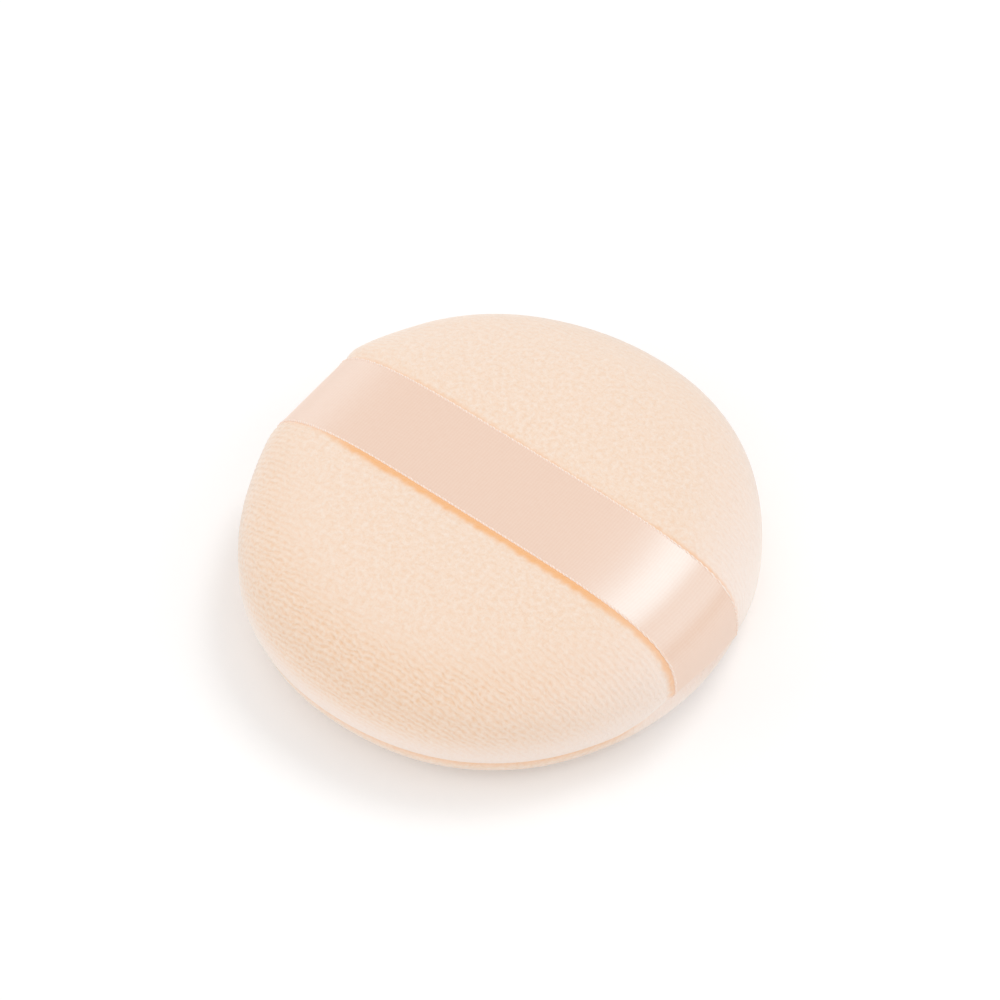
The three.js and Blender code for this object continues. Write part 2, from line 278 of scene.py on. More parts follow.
def new_grid(name, cells):
    """A grid of cells, and its points' places along it and across it, from -1 to 1."""
    deselect()
    bpy.ops.mesh.primitive_grid_add(x_subdivisions=cells[0], y_subdivisions=cells[1], size=2)
    grid = bpy.context.object
    grid.name = name
    u, v, _ = points_of(grid).T
    return grid, u, v


def points_of(obj):
    flat = np.empty(len(obj.data.vertices) * 3)
    obj.data.vertices.foreach_get("co", flat)
    return flat.reshape(-1, 3)


def place_points(obj, points):
    obj.data.vertices.foreach_set("co", np.ascontiguousarray(points).ravel())
    obj.data.update()


def normals_of(obj):
    flat = np.empty(len(obj.data.vertices) * 3)
    obj.data.vertex_normals.foreach_get("vector", flat)
    return flat.reshape(-1, 3)


def lay_out(obj, cloth):
    """Makes each point's place on the flat cloth its place on the UV map."""
    corners = np.empty(len(obj.data.loops), dtype=int)
    obj.data.loops.foreach_get("vertex_index", corners)
    obj.data.uv_layers[0].data.foreach_set("uv", cloth[corners].ravel())


def mark(obj, name, values):
    attribute = obj.data.attributes.new(name, "FLOAT", "POINT")
    attribute.data.foreach_set("value", values.astype(np.float32))


def smoothstep(value, low, high):
    t = np.clip((value - low) / (high - low), 0, 1)
    return t * t * (3 - 2 * t)


def facing(turn, angle):
    """From 1 on the side that faces an angle to 0 on the opposite side."""
    return 0.5 + 0.5 * np.cos(turn - angle)


def quarter(reach, rise, fullness, steps):
    """Quarter of a superellipse, from the end of its reach to the end of its rise."""
    turn = np.linspace(0, math.pi / 2, steps + 1)
    out = np.clip(np.cos(turn), 0, 1) ** (2 / fullness)
    up = np.clip(np.sin(turn), 0, 1) ** (2 / fullness)
    return np.column_stack([reach * out, rise * up])


def along(line):
    """Distance along a line of points, at each of them."""
    steps = np.hypot(*np.diff(line, axis=0).T)
    return np.concatenate([[0], np.cumsum(steps)])


def point_at(line, at):
    """The points that lie at the given distances along a line."""
    length = along(line)
    return np.column_stack([np.interp(at, length, line[:, k]) for k in range(line.shape[1])])


def noise_at(points, length, seed):
    """Smooth noise from -1 to 1, whose bumps are about length apart. Each seed is another place in it."""
    shift = Vector([seed * step for step in NOISE_STEP])
    return np.array([noise.noise(Vector(p) / length + shift) for p in points])


# How the round pad settles into its sewn shape

def stretch_on_bias(points):
    """The knit is a little longer along one diagonal and shorter across it."""
    lengthways = np.array([math.cos(BIAS_ANGLE), math.sin(BIAS_ANGLE), 0])
    across = np.array([-lengthways[1], lengthways[0], 0])
    longer = np.outer(points @ lengthways, lengthways)
    shorter = np.outer(points @ across, across)
    return points + BIAS_STRETCH * (longer - shorter)


def rim_unevenness(x, y, z):
    """How far out of round the rim is, all but where the ribbon holds the back."""
    turn = np.arctan2(y, x)
    out = sum(size * np.cos(count * (turn - math.radians(crest))) for count, size, crest in RIM_WAVES)
    held = 1 - smoothstep(np.abs(y), *RIM_HOLD_RAMP)
    return out * MM * (1 - held * smoothstep(z, FACE_FULLEST, SEAM))


def sew_in(points):
    """Where the ribbon's ends are sewn in, its tension draws the seam inwards and up."""
    x, y, z = points.T
    beside = 1 - smoothstep(np.abs(y), *SEWN_RAMP)
    outer = smoothstep(np.abs(x), *SEWN_OUTER_RAMP)
    by_seam = smoothstep(z, FACE_FULLEST - RIM_ROLL, SEAM) * (1 - smoothstep(z, SEAM, SEWN_TOP))
    drawn = beside * outer * by_seam
    near_seam = 1 - smoothstep(np.abs(z - SEAM), 0, DRAW_REACH)
    lift = np.maximum(np.where(x < 0, *SEAM_LIFT) - np.where(x < 0, *LIFT_TILT) * y, 0)
    inwards = np.where(x < 0, SEAM_DRAW[0], -SEAM_DRAW[1])
    return np.column_stack([x + drawn * near_seam * inwards, y, z + drawn * lift])


def fill_out(points):
    """Beside the ribbon the foam keeps the dome as full as the ribbon's path."""
    x, y, z = points.T
    above = np.clip(z - BACK_FULLEST, 0, None)
    out = np.hypot(x, y) / RIM
    up = above / (CROWN - BACK_FULLEST)
    own = (out ** BACK_FULLNESS + up ** BACK_FULLNESS) ** (1 / BACK_FULLNESS)
    fuller = (out ** RIBBON_FULLNESS + up ** RIBBON_FULLNESS) ** (1 / RIBBON_FULLNESS)
    beside = 1 - smoothstep(np.abs(y), *FULL_RAMP)
    scale = 1 + beside * (own / np.maximum(fuller, TINY) - 1)
    return np.column_stack([x * scale, y, z + above * (scale - 1)])


def press_rim(x, y, z, under):
    """X after the ribbon's ends have pressed the back's rim flat and drawn it in."""
    flat = np.where(x > 0, np.where(y < 0, *RIGHT_FLAT), np.where(y < 0, *LEFT_FLAT))
    runout = np.where(x > 0, RIGHT_RUNOUT, LEFT_RUNOUT)
    fade = np.where((x < 0) & (y > 0), FAR_LEFT_FADE, runout)
    swell = np.where(y < 0, *RIGHT_SWELL) * (1 - under)
    pull = np.where(x > 0, RIGHT_PULL - swell, LEFT_PULL)
    drawn = pull * np.abs(x) / RIM * (1 - smoothstep(np.abs(y), flat, flat + fade))
    unbowed = np.where(x > 0, 1 - RIGHT_BOW, 1)
    flattened = np.sqrt(x * x + unbowed * y * y) - np.abs(x)
    beside = 1 - smoothstep(np.abs(y), flat, flat + runout)
    share = smoothstep(np.abs(x), *PULL_RAMP) * smoothstep(z, FACE_FULLEST, SEAM)
    return x + np.sign(x) * share * (beside * flattened - drawn)


def settle(points):
    """The round pad's points, moved to where the knit, the filling, the ribbon and the seam leave them."""
    x, y, z = fill_out(points).T
    radius = np.maximum(np.hypot(x, y), TINY)
    uneven = 1 + rim_unevenness(x, y, z) * smoothstep(radius, *RIM_WAVE_RAMP) / radius
    x = x * uneven
    y = y * uneven
    groove_floor = RIBBON_EDGE - RIBBON_BITE
    under = 1 - smoothstep(np.abs(y), groove_floor, groove_floor + GROOVE_RUNOUT)
    above = np.clip(z - BACK_FULLEST, 0, None) / (CROWN - BACK_FULLEST)
    grooved = z - under * above * RIBBON_SINK
    return stretch_on_bias(sew_in(np.column_stack([press_rim(x, y, z, under), y, grooved])))


# Profiles of the two covers, from the middle of the cloth out to its raw edge, as radius and height

def back_line():
    dome = quarter(RIM, CROWN - BACK_FULLEST, BACK_FULLNESS, DOME_STEPS)[::-1] + [0, BACK_FULLEST]
    roll = quarter(SEAM_TUCK, RIM_ROLL - SEAM_SLIT, 2, ROLL_STEPS)
    fold = np.column_stack([RIM - SEAM_TUCK + roll[:, 0], BACK_FULLEST - roll[:, 1]])
    raw_edge = [[RIM - SEAM_TUCK - ALLOWANCE, SEAM + SEAM_SLIT]]
    return np.vstack([dome, fold[1:], raw_edge])


def face_line():
    middle = np.array([[0, 0]])
    edge = quarter(FACE_ROUNDING, FACE_FULLEST, FACE_FULLNESS, FACE_STEPS)[::-1]
    edge = np.column_stack([RIM - FACE_TUCK - FACE_ROUNDING + edge[:, 0], FACE_FULLEST - edge[:, 1]])
    roll = quarter(SEAM_TUCK - FACE_TUCK, RIM_ROLL - SEAM_SLIT, 2, ROLL_STEPS)
    fold = np.column_stack([RIM - SEAM_TUCK + roll[:, 0], FACE_FULLEST + roll[:, 1]])
    raw_edge = [[RIM - SEAM_TUCK - ALLOWANCE, SEAM - SEAM_SLIT]]
    return np.vstack([middle, edge, fold[1:], raw_edge])


def inset(line, depth):
    """The line moved inwards by depth, square to itself."""
    before = np.vstack([line[:1], line[:-1]])
    after = np.vstack([line[1:], line[-1:]])
    way = after - before
    way /= np.hypot(*way.T)[:, None]
    inside = np.column_stack([-way[:, 1], way[:, 0]])
    middle = np.array([RIM / 2, SEAM])
    side = np.sign(np.sum(inside[0] * (middle - line[0])))
    moved = line + side * depth * inside
    moved[0, 0] = 0
    return moved


# Velour covers

def spline_shares(at, cells):
    """For places from -1 to 1 along a grid, the four nearest grid points and their smooth shares."""
    place = np.clip((at + 1) / 2 * cells, 0, cells - TINY)
    first = place.astype(int)
    t = place - first
    shares = ((1 - t) ** 3, 3 * t ** 3 - 6 * t ** 2 + 4, -3 * t ** 3 + 3 * t ** 2 + 3 * t + 1, t ** 3)
    return [(np.clip(first + k - 1, 0, cells), share[:, None] / 6) for k, share in enumerate(shares)]


def spread_swell(swell, u, v):
    """The simulated swelling, carried over smoothly to a finer grid."""
    down = spline_shares(v, SWELL_CELLS[1])
    along_row = spline_shares(u, SWELL_CELLS[0])
    return sum(a * b * swell[j, i] for j, a in down for i, b in along_row)


def filling_swell(line):
    """Cloth simulation: held by the seam and the ribbon, the back swells under the filling's pressure."""
    disc, flat = cloth_disc("swelling_back", line, SWELL_CELLS)
    start = points_of(disc) * SIMULATED_SIZE
    place_points(disc, start)
    outwards = normals_of(disc)
    seam_at = along(line)[-2]
    by_seam = smoothstep(np.hypot(*flat.T), *(seam_at - hold for hold in SEAM_HOLDS))
    from_middle = np.abs(start[:, 1]) / SIMULATED_SIZE
    by_ribbon = 1 - smoothstep(from_middle, RIBBON_EDGE - RIBBON_BITE, RIBBON_EDGE + RIBBON_BITE)
    held = disc.vertex_groups.new(name="held")
    for point, share in enumerate(np.maximum(by_seam, by_ribbon)):
        held.add([point], share, "REPLACE")
    filling = disc.modifiers.new("filling", "CLOTH")
    filling.settings.vertex_group_mass = held.name
    filling.settings.effector_weights.gravity = 0
    filling.settings.use_pressure = True
    filling.settings.uniform_pressure_force = SWELL_PRESSURE
    filling.collision_settings.use_collision = False
    for moment in range(1, SWELL_FRAMES + 1):
        bpy.context.scene.frame_set(moment)
    pick(disc)
    bpy.ops.object.modifier_apply(modifier=filling.name)
    moved = (points_of(disc) - start) / SIMULATED_SIZE
    bpy.data.objects.remove(disc)
    bpy.context.scene.frame_set(1)
    # The foam stands behind the cloth, so it can only swell outwards
    out = np.clip(np.sum(moved * outwards, axis=1), 0, SWELL_CAP)
    return (outwards * out[:, None]).reshape(SWELL_CELLS[1] + 1, SWELL_CELLS[0] + 1, 3)


def cloth_disc(name, line, cells, swell=None):
    """A round of cloth laid over a profile. Its grid follows the knit, and its UV map is the flat cloth."""
    disc, u, v = new_grid(name, cells)
    length = along(line)
    flat = np.column_stack([u * np.sqrt(1 - v * v / 2), v * np.sqrt(1 - u * u / 2)]) * length[-1]
    out = np.hypot(*flat.T)
    radius = np.interp(out, length, line[:, 0])
    height = np.interp(out, length, line[:, 1])
    way = flat / np.maximum(out, TINY)[:, None]
    places = settle(np.column_stack([way * radius[:, None], height]))
    if swell is not None:
        places += spread_swell(swell, u, v)
    place_points(disc, places)
    lay_out(disc, flat / UV_UNIT + 0.5)
    return disc, flat


def velour_cover(name, line, cells, upper, swell=None):
    """Closed shell of velour: the pile side with its rows, and a plain lining, joined at the raw edge."""
    cover, flat = cloth_disc(name, line, cells, swell)
    lining, _ = cloth_disc(name + "_lining", inset(line, GROUND), LINING_CELLS, swell)
    # A grid faces up, so the sheet that should face down is turned over
    pick(lining if upper else cover)
    bpy.ops.object.mode_set(mode="EDIT")
    bpy.ops.mesh.select_all(action="SELECT")
    bpy.ops.mesh.flip_normals()
    bpy.ops.object.mode_set(mode="OBJECT")
    raise_pile(cover, flat, along(line)[-2], upper)
    pick(cover)
    lining.select_set(True)
    bpy.ops.object.join()
    bpy.ops.object.mode_set(mode="EDIT")
    bpy.ops.mesh.select_all(action="DESELECT")
    bpy.ops.mesh.select_mode(type="EDGE")
    bpy.ops.mesh.select_non_manifold()
    bpy.ops.mesh.bridge_edge_loops()
    bpy.ops.object.mode_set(mode="OBJECT")
    bpy.ops.object.shade_smooth()
    return cover


def tufts_and_sheen_of_back(x, y, z):
    """How far the back's pile stands in tufts, and how much painted sheen it gets: at the rim, and paler on
    the slope that faces PALE_ANGLE.
    """
    turn = np.arctan2(y, x)
    # The tufts' painted shade is strongest on the near slope and fades towards the crown
    tuft_side = TUFT_SIDE_LEAST + (1 - TUFT_SIDE_LEAST) * facing(turn, TUFT_SIDE_ANGLE) ** TUFT_SIDE_FOCUS
    pale = facing(turn, PALE_ANGLE) ** PALE_FOCUS * smoothstep(np.hypot(x, y), *PALE_RAMP)
    above_rim = smoothstep(z, *TUFT_RAMP)
    tufted = above_rim * tuft_side * (1 - CROWN_FADE * smoothstep(z, *CROWN_FADE_RAMP))
    painted_sheen = 1 - above_rim * (1 - pale)
    return tufted, painted_sheen


def tufts_and_sheen_of_face(x, y):
    """The same for the face, which has no tufts, and gets painted sheen beside the ribbon's ends."""
    beside = 1 - smoothstep(np.abs(y), *FACE_SHEEN_RAMP)
    return 0 * x, beside * smoothstep(np.abs(x), *FACE_SHEEN_OUTER_RAMP)


def part_along_ribbon(x, y, z, wander):
    """How far the ribbon parts the back's pile, and how much painted shade goes in its crevice."""
    closed = smoothstep(np.abs(x), *END_RAMP) * smoothstep(z, *FOOT_RAMP)
    closed *= np.where(x < 0, LEFT_CLOSED, RIGHT_CLOSED)
    right_end = smoothstep(x, *END_RAMP)
    width = np.where(y < 0, CREVICE, FAR_CREVICE * right_end) * (1 - CLOSED_WIDTH * closed)
    from_edge = np.abs(y) - RIBBON_EDGE - PARTING * wander
    parted = 1 - smoothstep(from_edge, width, width + CREVICE_RUNOUT)
    # Painted shade in the crevice: less where an end closes it, and weaker along the far edge
    colour = np.where(y < 0, 1 - CLOSED_SHADE * closed, FAR_SHADE + FAR_END_SHADE * right_end)
    return parted, parted * colour


def raise_pile(cover, flat, seam_at, upper):
    """Presses the knit's rows and the filling's lumps into the cloth, and marks where its tufts show, where
    painted sheen goes and where painted shade goes.
    """
    places = points_of(cover)
    x, y, z = places.T
    on_cloth = np.column_stack([flat, 0 * x])
    lumps = noise_at(places, LUMP_LENGTH, 1)
    waver = noise_at(on_cloth, WAVER_LENGTH, 2)
    row = 0.5 + 0.5 * np.cos(2 * math.pi * (flat[:, 1] / WALE + ROW_WAVER * waver))
    tufted, painted_sheen = tufts_and_sheen_of_back(x, y, z) if upper else tufts_and_sheen_of_face(x, y)
    depth = PILE_DEPTH * (FLAT_PILE + (1 - FLAT_PILE) * tufted) * (1 - row) + LUMP * (0.5 - 0.5 * lumps)
    from_seam = seam_at - np.hypot(*flat.T)
    depth *= smoothstep(from_seam, 0, RIM_ROLL)
    # Painted shade along the seam's crevice, with none under the ribbon
    crevice_shade = SEAM_SHADE * (1 - smoothstep(from_seam, *SEAM_CREVICE_RAMP))
    crevice_shade *= smoothstep(np.abs(y), RIBBON_EDGE, RIBBON_WIDTH)
    if upper:
        parted, colour = part_along_ribbon(x, y, z, noise_at(on_cloth, PARTING_LENGTH, 3))
        depth *= 1 - parted
        crevice_shade = np.maximum(colour, crevice_shade)
    place_points(cover, places - normals_of(cover) * depth[:, None])
    mark(cover, "tufted", tufted)
    mark(cover, "painted_sheen", painted_sheen)
    mark(cover, "crevice_shade", crevice_shade)


# Foam core

def turned_solid(name, line, steps):
    """A profile that starts and ends on the axis, turned into a closed solid."""
    turn = 2 * math.pi * np.arange(steps) / steps
    compass = list(zip(np.cos(turn), np.sin(turn)))
    places = [(r * c, r * s, z) for r, z in line[1:-1] for c, s in compass]
    low_pole = len(places)
    high_pole = low_pole + 1
    last_ring = low_pole - steps
    places += [(0, 0, line[0, 1]), (0, 0, line[-1, 1])]
    around = [(k, (k + 1) % steps) for k in range(steps)]
    faces = []
    for ring in range(0, last_ring, steps):
        faces += [(ring + a, ring + b, ring + steps + b, ring + steps + a) for a, b in around]
    faces += [(low_pole, b, a) for a, b in around]
    faces += [(high_pole, last_ring + a, last_ring + b) for a, b in around]
    mesh = bpy.data.meshes.new(name)
    mesh.from_pydata(places, [], faces)
    solid = bpy.data.objects.new(name, mesh)
    bpy.context.collection.objects.link(solid)
    return solid


def sponge_core():
    """The foam disc that fills the covers, slit all round for the seam allowances."""
    low, high = (corner[2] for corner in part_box("foam_core"))
    in_back = inset(back_line(), GROUND + CORE_CLEAR)
    in_face = inset(face_line(), GROUND + CORE_CLEAR)
    upper = in_back[in_back[:, 1] > SEAM + CORE_SLIT][:DOME_STEPS:CORE_STRIDE]
    lower = in_face[in_face[:, 1] < SEAM - CORE_SLIT][:FACE_STEPS:CORE_STRIDE]
    slit_floor = RIM - SEAM_TUCK - ALLOWANCE - RIBBON_CLEAR
    slit = [[slit_floor, SEAM - CORE_SLIT], [slit_floor, SEAM + CORE_SLIT]]
    line = np.vstack([lower, slit, upper[::-1]])
    line[:, 1] = np.clip(line[:, 1], low, high)
    core = turned_solid("sponge_core", line, CORE_STEPS)
    place_points(core, settle(points_of(core)))
    pick(core)
    bpy.ops.object.shade_smooth_by_angle(angle=CORE_CREASE)
    return core


# Ribbon

def ribbon_line():
    """The ribbon's route from its left raw end to its right one, as X and height."""
    half_thick = RIBBON_THICKNESS / 2
    rise = RIBBON_TOP - half_thick - BACK_FULLEST
    halves = []
    for pull in (LEFT_PULL, RIGHT_PULL):
        reach = RIM - pull + RIBBON_CLEAR + half_thick
        over = quarter(reach, rise, RIBBON_FULLNESS, RIBBON_STEPS) + [0, BACK_FULLEST]
        roll = quarter(SEAM_TUCK, RIM_ROLL, 2, ROLL_STEPS)[::-1]
        under = np.column_stack([reach - SEAM_TUCK + roll[:, 0], BACK_FULLEST - roll[:, 1]])
        raw_end = [[RIM - SEAM_TUCK - ALLOWANCE - pull, SEAM]]
        halves.append(np.vstack([raw_end, under, over[1:]]))
    left, right = halves
    return np.vstack([left * [-1, 1], right[-2::-1]])


def lay_ribbon(spot, across):
    """Places on the ribbon, from their route as X and height and their distance from its middle line."""
    x, z = spot.T
    bow = RIGHT_BOW * (x > 0) * smoothstep(x, *PULL_RAMP)
    x = np.sign(x) * np.sqrt(np.maximum(x * x - bow * across * across, 0))
    return stretch_on_bias(sew_in(np.column_stack([x, across, z])))


def satin_ribbon():
    """The woven band, and its length from raw end to raw end."""
    line = ribbon_line()
    length = along(line)[-1]
    ribbon, u, v = new_grid("satin_ribbon", (round(length / RIBBON_CELL), RIBBON_CELLS_ACROSS))
    at = (u + 1) / 2 * length
    across = v * RIBBON_EDGE
    place_points(ribbon, lay_ribbon(point_at(line, at), across))
    lay_out(ribbon, np.column_stack([at, across]) / UV_UNIT)
    pick(ribbon)
    wall = ribbon.modifiers.new("thickness", "SOLIDIFY")
    wall.thickness = RIBBON_THICKNESS
    wall.offset = 0
    bpy.ops.object.modifier_apply(modifier=wall.name)
    bpy.ops.object.shade_smooth_by_angle(angle=RIBBON_CREASE)
    return ribbon, length


def picot_edge(name, side):
    """A selvedge: one edge thread that swells at each picot loop."""
    line = ribbon_line()
    length = along(line)[-1]
    edge, u, v = new_grid(name, (round(length / PICOT) * PICOT_RINGS, PICOT_SIDES))
    at = (u + 1) / 2 * length
    spot = point_at(line, at)
    way = point_at(line, at + PICOT_RADIUS) - point_at(line, at - PICOT_RADIUS)
    way /= np.hypot(*way.T)[:, None]
    radius = PICOT_RADIUS * (PICOT_NECK + PICOT_LOOP * np.abs(np.sin(math.pi * at / PICOT)))
    turn = -v * math.pi
    lift = radius * np.sin(turn) + PICOT_LIFT
    route = np.column_stack([spot[:, 0] - way[:, 1] * lift, spot[:, 1] + way[:, 0] * lift])
    across = side * (RIBBON_EDGE + PICOT_OUT) + radius * np.cos(turn)
    place_points(edge, lay_ribbon(route, across))
    pick(edge)
    bpy.ops.object.mode_set(mode="EDIT")
    bpy.ops.mesh.select_all(action="SELECT")
    bpy.ops.mesh.remove_doubles(threshold=PICOT_MERGE)
    bpy.ops.mesh.select_all(action="DESELECT")
    bpy.ops.mesh.select_mode(type="EDGE")
    bpy.ops.mesh.select_non_manifold()
    bpy.ops.mesh.edge_face_add()
    bpy.ops.mesh.select_all(action="SELECT")
    bpy.ops.mesh.normals_make_consistent(inside=False)
    bpy.ops.object.mode_set(mode="OBJECT")
    bpy.ops.object.shade_smooth()
    return edge


# Materials

def set_inputs(node, values):
    """Fills a node's inputs, or links them where the value is another node's output."""
    for socket, value in values.items():
        if isinstance(value, bpy.types.NodeSocket):
            node.id_data.links.new(value, node.inputs[socket])
        else:
            node.inputs[socket].default_value = value


def add_node(tree, kind, inputs=None, **settings):
    """Adds a node with its options and inputs."""
    new = tree.nodes.new(kind)
    for option, value in settings.items():
        setattr(new, option, value)
    set_inputs(new, inputs or {})
    return new


def new_material(name):
    material = bpy.data.materials.new(name)
    material.use_nodes = True
    tree = material.node_tree
    tree.nodes.clear()
    shader = add_node(tree, "ShaderNodeBsdfPrincipled")
    add_node(tree, "ShaderNodeOutputMaterial", {"Surface": shader.outputs["BSDF"]})
    return material, tree, shader


def velour_material():
    """Cut-pile cotton velour: matt, with soft tufts in rows and a pale bloom where it turns away. Its colour
    holds painted shade and painted sheen.
    """
    material, tree, shader = new_material("cotton_velour")
    uv = add_node(tree, "ShaderNodeUVMap").outputs["UV"]
    # Rows that stray a little, broken into tufts, with painted shade in the furrows
    stray = add_node(tree, "ShaderNodeTexNoise", {"Vector": uv, "Scale": UV_UNIT / STRAY_LENGTH, "Detail": 1})
    strayed = add_node(tree, "ShaderNodeMix", {
        SHARE: ROW_STRAY / UV_UNIT, VECTOR_A: uv, VECTOR_B: stray.outputs["Color"],
    }, data_type="VECTOR").outputs[MIXED_VECTOR]
    rows = add_node(tree, "ShaderNodeTexWave", {
        "Vector": strayed, "Scale": WAVE_REPEAT * UV_UNIT / WALE,
    }, bands_direction="Y")
    between = add_node(tree, "ShaderNodeMapRange", {
        "Value": rows.outputs["Fac"], "To Min": ROW_TONES[0], "To Max": ROW_TONES[1],
    })
    in_rows = add_node(tree, "ShaderNodeMapping", {
        "Vector": strayed, "Scale": (BREAKS_PER_TUFT * UV_UNIT / TUFT, BREAKS_PER_ROW * UV_UNIT / WALE, 1),
    })
    breaks = add_node(tree, "ShaderNodeTexNoise", {
        "Vector": in_rows.outputs["Vector"], "Scale": 1, "Detail": 1, "Roughness": 0.6,
    }, noise_dimensions="2D")
    broken = add_node(tree, "ShaderNodeMapRange", {
        "Value": breaks.outputs["Fac"], "From Min": 0.28, "From Max": 0.8,
        "To Min": TUFT_TONES[0], "To Max": TUFT_TONES[1],
    })
    grain = add_node(tree, "ShaderNodeMath", {
        0: between.outputs["Result"], 1: broken.outputs["Result"],
    }, operation="MULTIPLY")
    # Brushed fibres where there are no tufts
    fibres = add_node(tree, "ShaderNodeTexNoise", {
        "Vector": uv, "Scale": UV_UNIT / FIBRES, "Detail": 2, "Roughness": 0.75,
    })
    brushed = add_node(tree, "ShaderNodeMapRange", {
        "Value": fibres.outputs["Fac"], "From Min": 0.3, "From Max": 0.7,
        "To Min": BRUSHED_TONES[0], "To Max": BRUSHED_TONES[1],
    })
    tufted = add_node(tree, "ShaderNodeAttribute", attribute_name="tufted")
    depth = add_node(tree, "ShaderNodeMix", {
        "Factor": tufted.outputs["Fac"], "A": brushed.outputs["Result"], "B": grain.outputs["Value"],
    }, data_type="FLOAT").outputs["Result"]
    # Colour by depth, which paints shade between the tufts, with painted sheen and the crevices' painted
    # shade over it
    colour = add_node(tree, "ShaderNodeMix", {
        SHARE: depth, COLOUR_A: hex_colour(VELOUR_TIPS), COLOUR_B: hex_colour(VELOUR_DEEP_TONE_AND_SHADE),
    }, data_type="RGBA").outputs[MIXED_COLOUR]
    # Painted sheen: paler at the rim, on the slope that faces PALE_ANGLE and beside the ribbon's ends
    painted_sheen = add_node(tree, "ShaderNodeAttribute", attribute_name="painted_sheen")
    sheen_share = add_node(tree, "ShaderNodeMath", {
        0: painted_sheen.outputs["Fac"], 1: PAINTED_SHEEN_SHARE,
    }, operation="MULTIPLY")
    with_sheen = add_node(tree, "ShaderNodeMix", {
        SHARE: sheen_share.outputs["Value"], COLOUR_A: colour, COLOUR_B: hex_colour(VELOUR_PAINTED_SHEEN),
    }, data_type="RGBA").outputs[MIXED_COLOUR]
    # Painted shade in the crevices, an orange that stands in for shadow and bounced light
    crevice_shade = add_node(tree, "ShaderNodeAttribute", attribute_name="crevice_shade")
    crevice_shaded = add_node(tree, "ShaderNodeMix", {
        SHARE: crevice_shade.outputs["Fac"], COLOUR_A: with_sheen, COLOUR_B: hex_colour(VELOUR_CREVICE_SHADE),
    }, data_type="RGBA").outputs[MIXED_COLOUR]
    bump = add_node(tree, "ShaderNodeBump", {
        "Strength": 0.5, "Distance": 0.3 * MM, "Height": depth,
    }, invert=True)
    set_inputs(shader, {
        "Base Color": crevice_shaded,
        "Normal": bump.outputs["Normal"],
        "Roughness": 0.95,
        "Specular IOR Level": 0.15,
        "Sheen Weight": 1,
        "Sheen Roughness": 0.6,
        "Sheen Tint": hex_colour(VELOUR_SHEEN),
    })
    return material


def satin_material():
    """Woven polyester satin: long floats along the ribbon give a broad shine across it."""
    material, tree, shader = new_material("polyester_satin")
    uv = add_node(tree, "ShaderNodeUVMap").outputs["UV"]
    weft = add_node(tree, "ShaderNodeTexWave", {
        "Vector": uv, "Scale": WAVE_REPEAT * UV_UNIT / WEFT, "Distortion": 1.2, "Detail": 1,
    }, bands_direction="X")
    floats = add_node(tree, "ShaderNodeMapping", {
        "Vector": uv, "Scale": (UV_UNIT / FLOAT_LENGTH, UV_UNIT / FLOAT_WIDTH, 1),
    })
    yarns = add_node(tree, "ShaderNodeTexNoise", {
        "Vector": floats.outputs["Vector"], "Scale": 1, "Detail": 2,
    })
    weave = add_node(tree, "ShaderNodeMix", {
        "Factor": WEAVE_MIX, "A": weft.outputs["Fac"], "B": yarns.outputs["Fac"],
    }, data_type="FLOAT").outputs["Result"]
    colour = add_node(tree, "ShaderNodeMix", {
        SHARE: weave, COLOUR_A: hex_colour(SATIN_COLOURS[0]), COLOUR_B: hex_colour(SATIN_COLOURS[1]),
    }, data_type="RGBA").outputs[MIXED_COLOUR]
    bump = add_node(tree, "ShaderNodeBump", {"Strength": 0.14, "Distance": 0.04 * MM, "Height": weave})
    tangent = add_node(tree, "ShaderNodeTangent", direction_type="UV_MAP")
    set_inputs(shader, {
        "Base Color": colour,
        "Normal": bump.outputs["Normal"],
        "Tangent": tangent.outputs["Tangent"],
        "IOR": 1.72,
        "Roughness": 0.34,
        "Anisotropic": 0.5,
        "Anisotropic Rotation": 0.25,
        "Specular IOR Level": 1,
        "Specular Tint": hex_colour(SATIN_SHINE),
    })
    return material


def yarn_material(name, colours, roughness):
    """Spun thread: fine twisted plies, each with a painted highlight on its crest, with a soft gloss."""
    material, tree, shader = new_material(name)
    place = add_node(tree, "ShaderNodeTexCoord").outputs["Object"]
    plies = add_node(tree, "ShaderNodeTexWave", {
        "Vector": place, "Scale": WAVE_REPEAT / PLY, "Distortion": 2, "Detail": 2,
    }, bands_direction="DIAGONAL").outputs["Fac"]
    colour = add_node(tree, "ShaderNodeMix", {
        SHARE: plies, COLOUR_A: hex_colour(colours[0]), COLOUR_B: hex_colour(colours[1]),
    }, data_type="RGBA").outputs[MIXED_COLOUR]
    bump = add_node(tree, "ShaderNodeBump", {"Strength": 0.4, "Distance": 0.05 * MM, "Height": plies})
    set_inputs(shader, {"Base Color": colour, "Normal": bump.outputs["Normal"], "Roughness": roughness})
    return material


def foam_material():
    """Open-cell cosmetic sponge: matt cream with fine pores, and painted shade inside each."""
    material, tree, shader = new_material("cosmetic_sponge")
    place = add_node(tree, "ShaderNodeTexCoord").outputs["Object"]
    pores = add_node(tree, "ShaderNodeTexVoronoi", {"Vector": place, "Scale": 1 / PORE}).outputs["Distance"]
    colour = add_node(tree, "ShaderNodeMix", {
        SHARE: pores, COLOUR_A: hex_colour(FOAM_COLOURS[0]), COLOUR_B: hex_colour(FOAM_COLOURS[1]),
    }, data_type="RGBA").outputs[MIXED_COLOUR]
    bump = add_node(tree, "ShaderNodeBump", {"Strength": 0.6, "Distance": 0.2 * MM, "Height": pores})
    set_inputs(shader, {"Base Color": colour, "Normal": bump.outputs["Normal"], "Roughness": 1})
    return material


def dress(obj, material):
    obj.data.materials.clear()
    obj.data.materials.append(material)


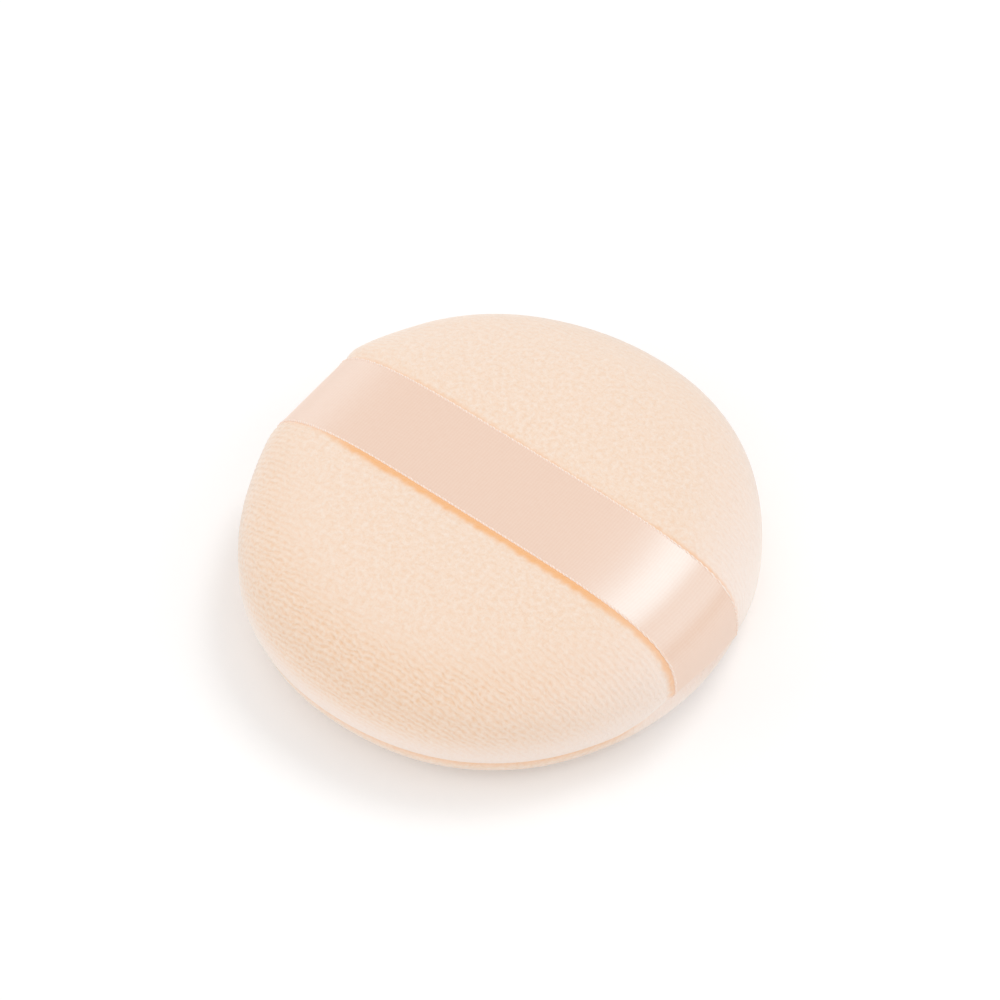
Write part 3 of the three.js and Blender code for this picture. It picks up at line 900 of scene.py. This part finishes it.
# The puff
velour = velour_material()
satin = satin_material()
selvedge = yarn_material("selvedge_yarn", SELVEDGE_COLOURS, roughness=0.5)
thread = yarn_material("spun_polyester_thread", THREAD_COLOURS, roughness=0.7)
foam = foam_material()

back = velour_cover("back_velour", back_line(), BACK_CELLS, True, filling_swell(back_line()))
face = velour_cover("face_velour", face_line(), FACE_CELLS, False)
core = sponge_core()
ribbon, ribbon_length = satin_ribbon()
edges = [picot_edge("picot_near", -1), picot_edge("picot_far", 1)]

dress(back, velour)
dress(face, velour)
dress(core, foam)
dress(ribbon, satin)
for edge in edges:
    dress(edge, selvedge)
for name in ("seam_thread", "closing_thread"):
    dress(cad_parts[name], thread)

for piece, node in ((back, "back_cover"), (face, "face_cover"), (core, "foam_core")):
    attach(piece, "pad")
    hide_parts(node)
for piece in (ribbon, *edges):
    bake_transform(piece)
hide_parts("finger_ribbon", "ribbon_tail_left", "ribbon_tail_right")


# Studio

def studio_floor():
    """White paper. The camera sees a little light added, so that it is white away from the shadow."""
    deselect()
    bpy.ops.mesh.primitive_plane_add(size=FLOOR_SIZE)
    floor = bpy.context.object
    floor.name = "studio_floor"
    material, tree, shader = new_material("white_paper")
    rays = add_node(tree, "ShaderNodeLightPath")
    seen = rays.outputs["Is Camera Ray"]
    for kind in ("Is Glossy Ray", "Is Transmission Ray"):
        both = add_node(tree, "ShaderNodeMath", {0: seen, 1: rays.outputs[kind]}, operation="MAXIMUM")
        seen = both.outputs["Value"]
    glow = add_node(tree, "ShaderNodeMath", {0: seen, 1: FLOOR_GLOW}, operation="MULTIPLY")
    set_inputs(shader, {
        "Base Color": hex_colour(PAPER),
        "Roughness": 0.9,
        "Specular IOR Level": 0,
        "Emission Color": hex_colour(WHITE),
        "Emission Strength": glow.outputs["Value"],
    })
    dress(floor, material)


def soft_light(name, place, size, watts):
    """A square lamp that is turned to the puff."""
    data = bpy.data.lights.new(name, "AREA")
    data.shape = "SQUARE"
    data.size = size
    data.energy = watts
    light = bpy.data.objects.new(name, data)
    light.location = place
    light.rotation_euler = (-Vector(place)).to_track_quat("-Z", "Y").to_euler()
    bpy.context.collection.objects.link(light)


def studio_camera():
    """A camera that shows the puff as large as the photograph does, from the same side."""
    backwards = Vector((
        math.sin(CAMERA_AZIMUTH) * math.cos(CAMERA_ELEVATION),
        -math.cos(CAMERA_AZIMUTH) * math.cos(CAMERA_ELEVATION),
        math.sin(CAMERA_ELEVATION),
    ))
    up = Vector((
        -math.sin(CAMERA_AZIMUTH) * math.sin(CAMERA_ELEVATION),
        math.cos(CAMERA_AZIMUTH) * math.sin(CAMERA_ELEVATION),
        math.cos(CAMERA_ELEVATION),
    ))
    below_middle = (AIM_PIXEL_ROW - FRAME_PIXELS / 2) / PIXELS_PER_MM * MM
    target = Vector((0, 0, AIM_HEIGHT)) + up * below_middle
    data = bpy.data.cameras.new("camera")
    data.sensor_width = SENSOR
    data.lens = PIXELS_PER_MM * CAMERA_DISTANCE / MM / FRAME_PIXELS * SENSOR
    camera = bpy.data.objects.new("camera", data)
    camera.location = target + backwards * CAMERA_DISTANCE
    camera.rotation_euler = backwards.to_track_quat("Z", "Y").to_euler()
    bpy.context.collection.objects.link(camera)
    bpy.context.scene.camera = camera


studio_floor()
for lamp in LAMPS:
    soft_light(*lamp)
studio_camera()

world = bpy.data.worlds.new("studio")
world.use_nodes = True
set_inputs(world.node_tree.nodes["Background"], {"Color": hex_colour(WHITE), "Strength": WORLD_LIGHT})
bpy.context.scene.world = world
bpy.context.scene.view_settings.view_transform = "Standard"
